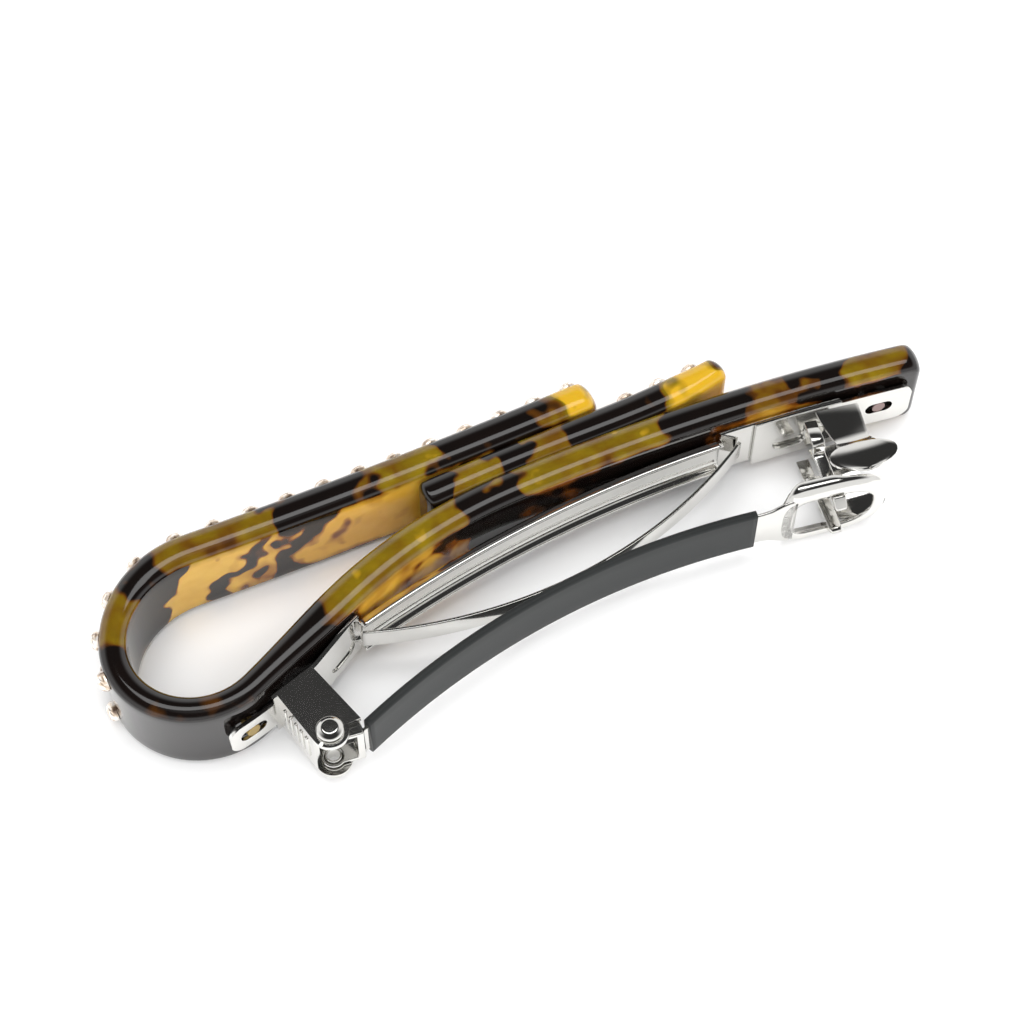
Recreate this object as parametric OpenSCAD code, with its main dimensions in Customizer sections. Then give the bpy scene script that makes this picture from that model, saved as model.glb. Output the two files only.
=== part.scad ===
// French-clip barrette: a folded acetate loop with a shorter middle strip, rows of set stones on the
// outer side, and an 80 mm spring clip with a hinged arm and a squeeze latch.
// The barrette stands on its long edge. X runs along the length, from the loop (-X) to the tips (+X).
// -Y is the clip side, +Y is the outer side with the stones, and Z runs across the strip.
// All sizes are in millimetres.

/* [Acetate] */
// Height of the acetate strips across their width
strip_width = 9; // [8.6:0.1:10]
// Thickness of the outer strip, which carries the stones
outer_thickness = 3.4; // [3:0.1:3.6]
// Thickness of the acetate round the loop
loop_thickness = 2.6; // [2.2:0.1:3]
// Thickness of the inner strip, which carries the clip
inner_thickness = 3.4; // [3:0.05:3.5]
// Radius of the corners at the strip ends
tip_radius = 1.2; // [0.6:0.1:1.4]

/* [Stones] */
// Diameter of each set stone
stone_diameter = 2; // [1.4:0.1:2.4]
// Height of a stone above the acetate
stone_height = 0.8; // [0.4:0.1:1]
// Distance between neighbouring stones along the strip
stone_pitch = 3.78; // [3:0.02:3.9]
// Distance of each stone row from the long edge
stone_inset = 1.6; // [1.4:0.1:2.2]

/* [Clip base] */
// Thickness of the clip's sheet steel
sheet = 0.4; // [0.3:0.05:0.5]
// Width of the channel in the middle of the base
channel_width = 4.5; // [4:0.1:5]
// Depth of the channel's side flanges
flange_depth = 1.2; // [0.8:0.1:1.6]
// Width of the flat seats at both ends of the channel
seat_width = 6; // [5:0.1:6.4]
// Width of the tongue at the hinge end of the base
hinge_tongue_width = 3.8; // [3.4:0.1:4.4]
// Width of the tongue at the latch end of the base
latch_tongue_width = 5; // [4:0.1:5.6]
// Half the width of the tongues' slots, and the radius of the hole in the latch foot
base_hole_radius = 0.75; // [0.4:0.05:0.9]

/* [Arm] */
// Radius of the arm's curve along its middle surface
arm_radius = 77.8; // [77:0.1:79]
// Width of the black sleeve over the arm
sleeve_width = 5.7; // [4.4:0.1:5.9]
// Thickness of the black sleeve over the arm
sleeve_thickness = 0.9; // [0.8:0.05:1]
// Height of the ring at the free end of the arm
ring_height = 8.2; // [7.8:0.1:8.3]
// Width of the ring's bars
ring_bar = 1.5; // [1.3:0.1:1.6]
// Depth of the ring's side skirts
skirt_depth = 1.6; // [1:0.1:1.8]

/* [Spring and latch] */
// Width of the tension spring
spring_width = 2.4; // [1.8:0.1:3]
// Thickness of the tension spring
spring_thickness = 0.35; // [0.25:0.05:0.4]
// Length of the oval press pads
pad_length = 7; // [5.6:0.1:7.2]
// Width of the oval press pads
pad_width = 3.4; // [2.8:0.1:3.6]
// Overhang of each latch barb over the ring's bar
barb_overhang = 0.3; // [0.2:0.05:0.35]

/* [Hinge] */
// Radius of the upper hinge rivet
hinge_pin_radius = 0.6; // [0.5:0.05:0.7]
// Radius of the lower hinge eyelet
eyelet_radius = 0.8; // [0.7:0.05:0.85]
// Radial clearance between a hinge pin and the arm's lug
hinge_clearance = 0.06; // [0.03:0.01:0.1]
// Thickness of the hinge ears
ear_thickness = 0.5; // [0.4:0.05:0.6]

/* [Hidden] */
$fn = 48;

// A cut runs this far past the face it goes through.
past = 0.5;
// Glued and riveted pieces stand this far apart.
seam = 0.04;
mid_z = strip_width / 2;

// The strip's middle line is a walk of [length, turn in degrees]. It starts at the outer strip's tip,
// goes back along the outer strip, round the loop and out along the inner strip.
walk_steps = 14;
strip_start = [11.2, 3.46];
strip_heading = 176.9;
strip_walk = [[42.8, -4.3], [13.1, 75], [17.3, 131.6], [11.8, 0], [20.4, -23], [43.7, -11.1]];
strip_taper = [[0, outer_thickness], [1, outer_thickness], [1.6, loop_thickness],
               [2.8, loop_thickness], [3.7, inner_thickness], [6, inner_thickness]];

// The middle strip lies between the other two, and its free tip stands clear of both.
middle_start = [-9.2, 1.25];
middle_heading = -2.5;
middle_walk = [[10, -1.6], [10, -1.2], [8, 4.6], [5.3, 7]];
middle_tip_thickness = 2.8;
middle_taper = [[0, 4.4], [1, 3.8], [2, 3.6], [3, 3.4], [4, middle_tip_thickness]];
outer_stone_count = 16;
first_outer_stone = 1.7;
middle_stone_count = 3;
first_middle_stone = 23.1;

// The base's back face is two walks from the top of its shallow arch.
base_top = [-0.5, -4.9];
arch_length = 20.4;
arch_turn = 9.3;
base_right_walk = [[arch_length, -arch_turn], [7.2, -2.6], [5.6, -1], [7.9, -1.3]];
base_left_walk = [[arch_length, arch_turn], [0.8, 16], [5.4, 0], [0.8, -14], [4.5, 0.5], [5, -6.2]];
base_top_heading = 0;
oval_length = 3.6;
oval_width = 2.2;
oval_drop = 0.9;
oval_pocket_depth = 0.2;
latch_oval_index = floor(2.1 * walk_steps);
hinge_oval_index = floor(2.4 * walk_steps);
slot_length = 2.9;
tongue_corner_radius = 1.5;
rivet_bite = 1.2;
rivet_head_height = 0.35;
foot_head_radius = 1.1;
left_rivet_index = floor(5.5 * walk_steps);
right_rivet_index = floor(3.6 * walk_steps);

// The hinge axis runs along Z. The ears stand out from the base and a wall joins them at their end.
hinge_axis = [-28.6, -16.1];
ear_inner_half = 2.55;
ear_outer_half = ear_inner_half + ear_thickness;
ear_tip_radius = 1.75;
ear_root_left = [-31.1, -10.25];
ear_root_right = [-26.9, -9.5];
ear_corner = [-25.6, -16.4];
wall_end = [-30.35, -16.3];
lug_radius = 1.15;
lug_thickness = 0.45;
lug_side_gap = 0.12;
lug_half = ear_inner_half - lug_side_gap;
lug_arm_half = 0.9;
web_start = 2.2;
web_thickness = 0.7;
rivet_dome_radius = 1.3;
rivet_dome_height = 0.8;
rivet_stub = 0.35;
eyelet_wall = 0.2;
eyelet_flange = 0.3;
eyelet_flange_radius = 1.65;
lug_heading = -13;

// The arm's curve is a circle, and the ring lies on the tangent at its free end.
arm_centre = [-2.5, -91.3];
arm_hinge_angle = 107.6;
sleeve_hinge_angle = 107;
arm_free_angle = 74.9;
arm_strip_thickness = 0.4;
arm_strip_width = 4;
ring_angle = arm_free_angle - 90;
neck_length = 2.2;
ring_length = 11.4;
window_height = ring_height - 2 * ring_bar;
// Half of the ring's outline: distance from the neck's start, and share of the ring's half height.
ring_profile = [[neck_length, 0.5], [neck_length + 2, 1], [neck_length + 6.4, 1],
                [neck_length + 9, 0.86], [neck_length + 10.8, 0.6], [neck_length + ring_length, 0.3]];
ring_least_half = 0.5;
ring_near_bar = 1.8;
ring_far_bar = 1.5;

// The spring is a bow between its two hooks on the base.
spring_centre = [0.4, 35.8];
spring_radius = 48.3;
spring_half_angle = 26.2;

// The latch stands on the base's foot piece. Its two levers bend at their roots, and their barbs catch
// behind the ring.
latch_walk_index = 2.5;
foot_walk_index = 1.5;
lever_sheet = 0.35;
leg_half = 3.3;
leg_start = -0.2;
leg_width = 4.4;
prong_left = -1.8;
leg_root = -1.15;
leg_end = -5.8;
riser_start = 0.8;
riser_width = 3;
pad_centre = [2.3, -7.7];
pad_inner_half = 4.2;
pad_thickness = 0.3;
prong_clearance = 0.4;
prong_half = window_height / 2 - prong_clearance;
prong_width = 1.3;
shoulder_width = 1.6;
prong_root = -4.9;
prong_nose = -11.9;
barb_face = -10.74;

// Points [x, y, heading] along a walk of [length, turn] pieces.
function walk(start, heading, pieces, steps = walk_steps) =
    let (last = steps * len(pieces) - 1)
    [for (k = 0, x = start[0], y = start[1], h = heading;
          k <= last + 1;
          x = x + piece(pieces, k, last, steps)[0] / steps * cos(h + half_turn(pieces, k, last, steps)),
          y = y + piece(pieces, k, last, steps)[0] / steps * sin(h + half_turn(pieces, k, last, steps)),
          h = h + 2 * half_turn(pieces, k, last, steps),
          k = k + 1)
     [x, y, h]];

function piece(pieces, k, last, steps) = pieces[floor(min(k, last) / steps)];

function half_turn(pieces, k, last, steps) = piece(pieces, k, last, steps)[1] / steps / 2;

// The point on the left of a walk's point, at a distance across it.
function beside(point, distance) =
    [point[0] - distance * sin(point[2]), point[1] + distance * cos(point[2])];

// The outline of a strip that follows a walk, with its thickness from a taper table.
function tapered_outline(points, taper, grow = 0, steps = walk_steps) = concat(
    [for (k = [0 : len(points) - 1]) beside(points[k], lookup(k / steps, taper) / 2 + grow)],
    [for (k = [len(points) - 1 : -1 : 0]) beside(points[k], -lookup(k / steps, taper) / 2 - grow)]);

// The outline of sheet metal that lies on one side of a walk.
function sheet_outline(points, near, far) = concat(
    [for (p = points) beside(p, near)],
    [for (k = [len(points) - 1 : -1 : 0]) beside(points[k], far)]);

// The part of a walk between two of its pieces.
function walk_part(points, first, last, steps = walk_steps) =
    [for (k = [round(first * steps) : last * steps]) points[k]];

strip_points = walk(strip_start, strip_heading, strip_walk);
middle_points = walk(middle_start, middle_heading, middle_walk);
base_right = walk(base_top, base_top_heading, base_right_walk);
base_left = walk(base_top, base_top_heading, [for (p = base_left_walk) [-p[0], p[1]]]);

// A plan shape extruded over a height, centred on the strip's mid-height.
module across(width) {
    translate([0, 0, mid_z - width / 2]) linear_extrude(width) children();
}

// The strip's outline, seen from above.
module strip_plan(grow = 0) {
    polygon(tapered_outline(strip_points, strip_taper, grow));
}

// The two corners at a strip's end, outside their rounding, seen from above.
module square_corners(tip, thickness) {
    translate([tip[0], tip[1]]) rotate([0, 0, tip[2]]) difference() {
        translate([-tip_radius, -thickness]) square([tip_radius + past, 2 * thickness]);
        for (side = [-1, 1]) translate([-tip_radius, side * (thickness / 2 - tip_radius)]) circle(tip_radius);
        translate([-tip_radius - past, -thickness / 2 + tip_radius])
            square([tip_radius + past, thickness - 2 * tip_radius]);
    }
}

module loop_strip() color("saddlebrown") difference() {
    linear_extrude(strip_width) difference() {
        strip_plan();
        square_corners([strip_points[0][0], strip_points[0][1], strip_heading + 180],
                       outer_thickness);
        square_corners(strip_points[len(strip_points) - 1], inner_thickness);
    }
    rivet_sockets();
}

// The blind holes in the acetate that take the two tongue rivets.
module rivet_sockets() {
    for (point = [base_left[left_rivet_index], base_right[right_rivet_index]])
        on_base(point) translate([0, 0, -rivet_bite - seam])
            cylinder(h = rivet_bite + past, r = base_hole_radius);
}

module middle_strip() color("peru") linear_extrude(strip_width) difference() {
    polygon(tapered_outline(middle_points, middle_taper));
    strip_plan(seam);
    square_corners(middle_points[len(middle_points) - 1], middle_tip_thickness);
}

// The fractional index of the walk's point at a distance from its start.
function walk_index(pieces, distance, first = 0) =
    distance <= pieces[first][0] || first == len(pieces) - 1
        ? (first + distance / pieces[first][0]) * walk_steps
        : walk_index(pieces, distance - pieces[first][0], first + 1);

// A place on a strip's face, on one side of its walk, at a distance from the walk's start.
function face_site(points, taper, pieces, distance, side) =
    let (k = walk_index(pieces, distance),
         low = floor(k),
         middle = points[low] + (k - low) * (points[low + 1] - points[low]),
         face = beside(middle, side * (lookup(k / walk_steps, taper) / 2 + seam)))
    [face[0], face[1], middle[2] + (side > 0 ? 90 : -90)];

// A set stone: a round girdle with a coned crown, standing out of the strip's face.
module stone(site, height_on_strip) {
    translate([site[0], site[1], height_on_strip]) rotate([0, 0, site[2]]) rotate([0, 90, 0]) {
        cylinder(h = stone_height / 2, r = stone_diameter / 2);
        translate([0, 0, stone_height / 2])
            cylinder(h = stone_height / 2, r1 = stone_diameter / 2, r2 = stone_diameter / 4);
    }
}

module outer_stones(row_z) color("gainsboro")
    for (k = [0 : outer_stone_count - 1])
        stone(face_site(strip_points, strip_taper, strip_walk, first_outer_stone + k * stone_pitch, -1),
              row_z);

module middle_stones(row_z) color("gainsboro")
    for (k = [0 : middle_stone_count - 1])
        stone(face_site(middle_points, middle_taper, middle_walk, first_middle_stone + k * stone_pitch, 1),
              row_z);

module stones_outer_upper() outer_stones(strip_width - stone_inset);

module stones_outer_lower() outer_stones(stone_inset);

module stones_middle_upper() middle_stones(strip_width - stone_inset);

module stones_middle_lower() middle_stones(stone_inset);

// Places its children at a point of a base walk, with +Z standing out of the sheet on the clip side.
module on_base(point) {
    translate([point[0], point[1], mid_z]) rotate([0, 0, point[2]]) rotate([90, 0, 0]) children();
}

module base_part(points, first, last, width, depth = sheet) {
    across(width) polygon(sheet_outline(walk_part(points, first, last), 0, -depth));
}

module base_flange(points, side) {
    translate([0, 0, mid_z + side * (channel_width - sheet) / 2 - sheet / 2]) linear_extrude(sheet)
        polygon(sheet_outline(walk_part(points, 0, 1), 0, -flange_depth));
}

module base_sheet() {
    for (points = [base_left, base_right]) {
        base_part(points, 0, 1, channel_width);
        for (side = [-1, 1]) base_flange(points, side);
    }
    base_part(base_left, 1, 5, seat_width);
    base_part(base_left, 5, 6, hinge_tongue_width);
    base_part(base_right, 1, 3, seat_width);
    base_part(base_right, 3, 4, latch_tongue_width);
}

// A slot with round ends, drawn along x about the middle.
module slot(length, width) {
    for (side = [-1, 1]) translate([side * (length - width) / 2, 0]) circle(width / 2);
    square([length - width, width], center = true);
}

// A slot that cuts into the base or foot from a level above the base's back face.
module base_slot(point, length, width, drop, level) {
    on_base(point) translate([0, -drop, level]) linear_extrude(3 * sheet + past) slot(length, width);
}

// The corners of a tongue's end, outside their rounding. The tongue points to its side along x.
module tongue_corners(point, width, end_side) {
    on_base(point) for (edge = [-1, 1])
        translate([end_side * (seam - tongue_corner_radius),
                   edge * (width / 2 + seam - tongue_corner_radius), -past])
            linear_extrude(sheet + 2 * past) difference() {
                mirror([end_side < 0 ? 1 : 0, 0]) mirror([0, edge < 0 ? 1 : 0])
                    square(tongue_corner_radius + past);
                circle(tongue_corner_radius);
            }
}

// The bores for the upper hinge rivet and the lower eyelet, with a clearance round each.
module hinge_bores(clearance) {
    translate([hinge_axis[0], hinge_axis[1], mid_z])
        cylinder(h = mid_z + past, r = hinge_pin_radius + clearance);
    translate([hinge_axis[0], hinge_axis[1], -past])
        cylinder(h = mid_z + past, r = eyelet_radius + clearance);
}

module ear(low) {
    translate([0, 0, low]) linear_extrude(ear_thickness) {
        polygon([ear_root_left, ear_root_right, ear_corner, hinge_axis, wall_end]);
        translate(hinge_axis) circle(ear_tip_radius);
    }
}

module end_wall() {
    across(2 * ear_outer_half) polygon([ear_root_left, ear_root_left + [sheet, 0],
                                        wall_end + [sheet, 0], wall_end]);
}

module clip_base() color("silver") difference() {
    union() {
        base_sheet();
        ear(mid_z + ear_inner_half);
        ear(mid_z - ear_outer_half);
        end_wall();
    }
    hinge_bores(seam);
    base_slot(base_left[hinge_oval_index], oval_length, oval_width, oval_drop, sheet - oval_pocket_depth);
    for (point = [base_left[left_rivet_index], base_right[right_rivet_index]])
        base_slot(point, slot_length, 2 * base_hole_radius, 0, -past);
    tongue_corners(base_left[len(base_left) - 1], hinge_tongue_width, -1);
    tongue_corners(base_right[len(base_right) - 1], latch_tongue_width, 1);
}

// A flush rivet in a tongue's slot, pressed into a blind hole in the acetate.
module tongue_rivet(point) {
    on_base(point) translate([0, 0, -rivet_bite])
        cylinder(h = rivet_bite + sheet, r = base_hole_radius - seam);
}

module tongue_rivet_left() color("gray") tongue_rivet(base_left[left_rivet_index]);

module tongue_rivet_right() color("dimgray") tongue_rivet(base_right[right_rivet_index]);

// The upper hinge rivet: a stub through the ear and the arm's lug under a domed head.
module hinge_rivet_upper() color("silver") {
    translate([hinge_axis[0], hinge_axis[1], mid_z + lug_half - lug_thickness - rivet_stub])
        cylinder(h = ear_outer_half - lug_half + lug_thickness + rivet_stub + 2 * seam,
                 r = hinge_pin_radius);
    translate([hinge_axis[0], hinge_axis[1], mid_z + ear_outer_half + seam]) {
        cylinder(h = rivet_dome_height / 2, r = rivet_dome_radius);
        translate([0, 0, rivet_dome_height / 2])
            cylinder(h = rivet_dome_height / 2, r1 = rivet_dome_radius, r2 = rivet_dome_radius / 2);
    }
}

// The lower hinge eyelet: a hollow stub through the lower ear and lug, flanged under the ear.
module hinge_eyelet_lower() color("silver") difference() {
    union() {
        translate([hinge_axis[0], hinge_axis[1], mid_z - ear_outer_half - seam])
            cylinder(h = ear_outer_half - lug_half + lug_thickness + rivet_stub, r = eyelet_radius);
        translate([hinge_axis[0], hinge_axis[1], mid_z - ear_outer_half - seam - eyelet_flange])
            cylinder(h = eyelet_flange, r = eyelet_flange_radius);
    }
    translate([hinge_axis[0], hinge_axis[1], -past])
        cylinder(h = strip_width + 2 * past, r = eyelet_radius - eyelet_wall);
}

// A length of the arm's arc, with a rectangular section.
module arm_arc(from_angle, to_angle, thickness, width) {
    translate([arm_centre[0], arm_centre[1], mid_z]) rotate([0, 0, from_angle])
        rotate_extrude(angle = to_angle - from_angle)
            translate([arm_radius, 0]) square([thickness, width], center = true);
}

// Places its children in the ring's frame: x along the arm, y towards the base, z at mid-height.
module in_ring_frame() {
    translate([arm_centre[0] + arm_radius * cos(arm_free_angle),
               arm_centre[1] + arm_radius * sin(arm_free_angle), mid_z])
        rotate([0, 0, ring_angle]) children();
}

// A flat plate in the ring's frame, drawn in x and z.
module ring_plate() {
    translate([0, arm_strip_thickness / 2, 0]) rotate([90, 0, 0])
        linear_extrude(arm_strip_thickness) children();
}

// The ring's outline drawn in by an amount on every side, in x and z.
function ring_outline(inset, near_inset, far_inset) =
    let (start = ring_profile[0][0] + near_inset, end = neck_length + ring_length - far_inset,
         span = (end - start) / ring_length,
         half = [for (p = ring_profile) [start + (p[0] - neck_length) * span,
                                         max(p[1] * ring_height / 2 - inset, ring_least_half)]])
    concat(half, [for (k = [len(half) - 1 : -1 : 0]) [half[k][0], -half[k][1]]]);

module ring() {
    in_ring_frame() {
        ring_plate() difference() {
            polygon(ring_outline(0, 0, 0));
            polygon(ring_outline(ring_bar, ring_near_bar, ring_far_bar));
        }
        ring_plate() translate([-past, -arm_strip_width / 2])
            square([neck_length + 2 * past, arm_strip_width]);
        translate([0, skirt_depth - arm_strip_thickness / 2, 0]) rotate([90, 0, 0])
            linear_extrude(skirt_depth) difference() {
                polygon(ring_outline(0, 0, 0));
                polygon(ring_outline(sheet, -past, sheet));
                translate([0, -ring_height / 2]) square([neck_length + sheet, ring_height]);
            }
    }
}

module lug(low) {
    translate([0, 0, low]) linear_extrude(lug_thickness) {
        translate(hinge_axis) circle(lug_radius);
        translate(hinge_axis) rotate([0, 0, lug_heading]) translate([0, -lug_arm_half])
            square([web_start + web_thickness, 2 * lug_arm_half]);
    }
}

module arm_core() color("lightgray") difference() {
    union() {
        lug(mid_z + lug_half - lug_thickness);
        lug(mid_z - lug_half);
        across(2 * lug_half) translate(hinge_axis) rotate([0, 0, lug_heading])
            translate([web_start, -lug_arm_half]) square([web_thickness, 2 * lug_arm_half]);
        arm_arc(arm_free_angle, arm_hinge_angle, arm_strip_thickness, arm_strip_width);
        ring();
    }
    hinge_bores(hinge_clearance);
}

module arm_sleeve() color("black") difference() {
    arm_arc(arm_free_angle, sleeve_hinge_angle, sleeve_thickness, sleeve_width);
    arm_arc(arm_free_angle - 1, sleeve_hinge_angle + 1, arm_strip_thickness + 2 * seam,
            arm_strip_width + 2 * seam);
}

module tension_spring() color("silver") {
    translate([spring_centre[0], spring_centre[1], mid_z]) rotate([0, 0, -90 - spring_half_angle])
        rotate_extrude(angle = 2 * spring_half_angle)
            translate([spring_radius, 0]) square([spring_thickness, spring_width], center = true);
}

// Places its children on the latch: x along the base, y towards the base, z at mid-height.
module in_latch_frame() {
    at = base_right[floor(latch_walk_index * walk_steps)];
    translate([at[0], at[1], mid_z]) rotate([0, 0, ring_angle]) children();
}

module latch_foot() color("silver") difference() {
    across(2 * leg_half) polygon(sheet_outline(walk_part(base_right, foot_walk_index, 3), -sheet - seam,
                                               -2 * sheet - seam));
    on_base(base_right[floor(latch_walk_index * walk_steps)])
        cylinder(h = 2 * sheet + past, r = base_hole_radius);
    base_slot(base_right[latch_oval_index], oval_length, oval_width, oval_drop, sheet);
}

module latch_foot_rivet() color("gray")
    on_base(base_right[floor(latch_walk_index * walk_steps)]) translate([0, 0, sheet + seam]) {
        cylinder(h = sheet + 2 * seam, r = base_hole_radius - seam);
        translate([0, 0, sheet + seam]) cylinder(h = rivet_head_height, r = foot_head_radius);
    }

// One latch lever, drawn for the upper side: leg, riser, oval press pad, prong and barb.
module latch_lever() {
    translate([leg_start, leg_end, leg_half])
        cube([leg_width, leg_root - leg_end, lever_sheet]);
    translate([riser_start, leg_end - lever_sheet, leg_half])
        cube([riser_width, lever_sheet + seam, pad_inner_half + pad_thickness - leg_half]);
    translate([pad_centre[0], pad_centre[1], pad_inner_half]) linear_extrude(pad_thickness) {
        for (side = [-1, 1]) translate([side * (pad_length - pad_width) / 2, 0]) circle(pad_width / 2);
        square([pad_length - pad_width, pad_width], center = true);
    }
    translate([prong_left, prong_root, leg_half])
        cube([leg_start - prong_left + seam, shoulder_width, lever_sheet]);
    translate([prong_left, prong_root, prong_half - lever_sheet])
        cube([prong_width, lever_sheet, leg_half + 2 * lever_sheet - prong_half]);
    translate([prong_left, prong_nose, prong_half - lever_sheet])
        cube([prong_width, prong_root - prong_nose + lever_sheet, lever_sheet]);
    translate([prong_left, 0, 0]) rotate([90, 0, 90]) linear_extrude(prong_width)
        polygon([[prong_nose, prong_half - lever_sheet], [barb_face, prong_half - lever_sheet],
                 [barb_face, window_height / 2 + barb_overhang], [prong_nose, prong_half]]);
}

module latch_lever_upper() color("silver") in_latch_frame() latch_lever();

module latch_lever_lower() color("silver") in_latch_frame() mirror([0, 0, 1]) latch_lever();

loop_strip();
middle_strip();
stones_outer_upper();
stones_outer_lower();
stones_middle_upper();
stones_middle_lower();
clip_base();
tongue_rivet_left();
tongue_rivet_right();
hinge_rivet_upper();
hinge_eyelet_lower();
arm_core();
arm_sleeve();
tension_spring();
latch_foot();
latch_foot_rivet();
latch_lever_upper();
latch_lever_lower();
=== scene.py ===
"""A tortoiseshell French-clip barrette, dressed over its CAD frame.

The shapes' numbers are in mm and degrees, and MM turns mm into metres. What comes from the frame is
in metres, and so is the studio.
"""

import math

import bmesh
import bpy
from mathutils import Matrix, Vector


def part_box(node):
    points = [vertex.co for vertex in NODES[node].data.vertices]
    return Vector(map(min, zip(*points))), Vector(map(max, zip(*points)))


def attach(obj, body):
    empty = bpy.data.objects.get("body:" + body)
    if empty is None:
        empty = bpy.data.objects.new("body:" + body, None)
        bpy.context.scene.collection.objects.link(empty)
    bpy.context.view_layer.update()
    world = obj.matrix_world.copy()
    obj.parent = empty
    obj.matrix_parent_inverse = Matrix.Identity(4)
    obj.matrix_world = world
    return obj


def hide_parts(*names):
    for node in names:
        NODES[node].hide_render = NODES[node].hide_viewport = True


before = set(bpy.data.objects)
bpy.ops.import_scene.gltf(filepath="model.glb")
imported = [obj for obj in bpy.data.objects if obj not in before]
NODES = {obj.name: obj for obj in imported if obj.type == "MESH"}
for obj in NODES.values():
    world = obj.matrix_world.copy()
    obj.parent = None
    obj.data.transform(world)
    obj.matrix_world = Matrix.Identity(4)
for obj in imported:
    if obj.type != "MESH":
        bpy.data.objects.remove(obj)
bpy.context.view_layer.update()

MM = 0.001
STRIP_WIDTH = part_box("loop_strip")[1].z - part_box("loop_strip")[0].z
MID_Z = STRIP_WIDTH / 2

# ---------------------------------------------------------------- the strips' middle lines, as in the CAD
# Each walk is a start, a heading in degrees, and pieces of (length in mm, turn in degrees).
STRIP_START = (11.2, 3.46)
STRIP_HEADING = 176.9
STRIP_WALK = [(42.8, -4.3), (13.1, 75), (17.3, 131.6), (11.8, 0), (20.4, -23), (43.7, -11.1)]
STRIP_TAPER = [3.4, 3.4, 2.6, 2.6, 3.4, 3.4, 3.4]
MIDDLE_START = (-9.2, 1.25)
MIDDLE_HEADING = -2.5
MIDDLE_WALK = [(10, -1.6), (10, -1.2), (8, 4.6), (5.3, 7)]
MIDDLE_TAPER = [3.1, 3.0, 3.2, 3.3, 2.8]
# The strips' long edges are rounded by EDGE_ROUND up the width and CROWN_RADIUS across the thickness.
EDGE_ROUND = 0.85
CROWN_RADIUS = 1.5
CROWN_STEPS = 10
SIDE_STEPS = 10
# The ends round off by these radii across the width, at the start and the end of each strip.
LOOP_END_ROUNDS = (1.4, 1.5)
MIDDLE_END_ROUNDS = (0.6, 1.0)
END_STEPS = 12
LEAST_DEPTH = 0.05
# Share of a half side that a rounded corner may take up.
FULLEST_ROUND = 0.98
# Distance between a strip's or a bar's cross sections.
SECTION_STEP = 0.5
# The broad faces' look starts this far in from the strip's long edges, and takes over across the blend.
FACE_MARGIN = 0.55
FACE_BLEND = 0.5
WELD = 0.002 * MM
# A bend in radians that is too slight to tell from a straight line.
STRAIGHT = 1e-9

# ---------------------------------------------------------------- stones
STONE_RADIUS = 1.0
STONE_RISE = 0.78
STONE_SIDES = 12
STONE_INSET = 1.6
STONE_PITCH = 3.78
# How many stones a row has, and how far along the strip its first one sits.
OUTER_STONES = (16, 1.7)
MIDDLE_STONES = (3, 23.1)
# A stone's facet rings from its seat up, as shares of its radius, of its rise and of a facet's turn.
STONE_RINGS = [(0.98, 0.0, 0), (1.0, 0.25, 0), (0.97, 0.42, 0), (0.80, 0.78, 0.5), (0.55, 1.0, 0)]

# ---------------------------------------------------------------- clip, as in the CAD, in mm and degrees
ARM_CENTRE = (-2.5, -91.3)
ARM_RADIUS = 77.8
SLEEVE_ANGLES = (74.9, 107)
SLEEVE_END_X = ARM_CENTRE[0] + ARM_RADIUS * math.cos(math.radians(SLEEVE_ANGLES[1]))
SLEEVE_WIDTH = 5.7
SLEEVE_THICKNESS = 0.9
SLEEVE_ROUND = 0.38
# The arm's fork is cut off this far inside the sleeve.
FORK_CUT_X = SLEEVE_END_X + 1.5
CORE_HALF = SLEEVE_THICKNESS / 4
SPRING_CENTRE = (0.4, 35.8)
SPRING_RADIUS = 48.3
SPRING_ANGLES = (-90 - 26.2, -90 + 26.2)
SPRING_WIDTH = 2.4
SPRING_THICKNESS = 0.35
SPRING_ROUND = 0.1
RING_ORIGIN = (17.767, -16.186)
LATCH_ORIGIN = (29.624, -8.466)
LATCH_ANGLE = math.radians(-15.1)
# Control points of the ring's outline and window, upper half, as (along the arm, up).
RING_OUTLINE = [(2.3, 2.2), (3.7, 4.35), (6.5, 4.4), (9.6, 4.4), (12.1, 3.7), (13.6, 2.3), (13.8, 0.6)]
RING_WINDOW = [(3.8, 1.5), (4.5, 2.75), (6.7, 2.75), (9.2, 2.75), (10.8, 2.4), (12.0, 1.5), (12.2, 0.5)]
# The ring's outer edge is folded towards the base. The fold rises over the first span along the arm, and
# drops over the second, where it passes the latch's pads.
RING_SKIRT = 1.35
SKIRT_RISE_SPAN = (2.4, 4.6)
SKIRT_DROP = 0.42
SKIRT_DROP_SPAN = (7.8, 9.6)
RING_FOLD = 0.95
FOLD_SHARE = 0.7
FOLD_SLOPE = 0.6
# Share of the fold's width left to go, and share of its lean gone up, at its three outer bends.
FOLD_BENDS = [(0.75, 0.12), (0.2, 0.8), (0.05, 1.0)]
# The fold's inner bends, as (back from its sheet, above the arm's core).
FOLD_INSIDE = [(0.08, 0.15), (0.25, 0.0)]
RING_EDGE = 0.12
RING_LIP = 0.1
FOLD_SHEET = 0.3
# The neck's stations, as (along the arm, half its width).
NECK_STATIONS = [(-1.0, 2.35), (0.6, 2.35), (1.6, 2.5), (2.6, 3.0), (3.3, 3.3), (4.1, 3.3)]
NECK_ROUND = 0.2
# The base's channel lies on a circle in plan.
CHANNEL_RADIUS = 125.68
CHANNEL_CENTRE = (-0.5, -4.9 - CHANNEL_RADIUS)
CHANNEL_ANGLES = (80.7, 99.3)
CHANNEL_ENDS_X = (-20.7, 19.7)
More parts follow.
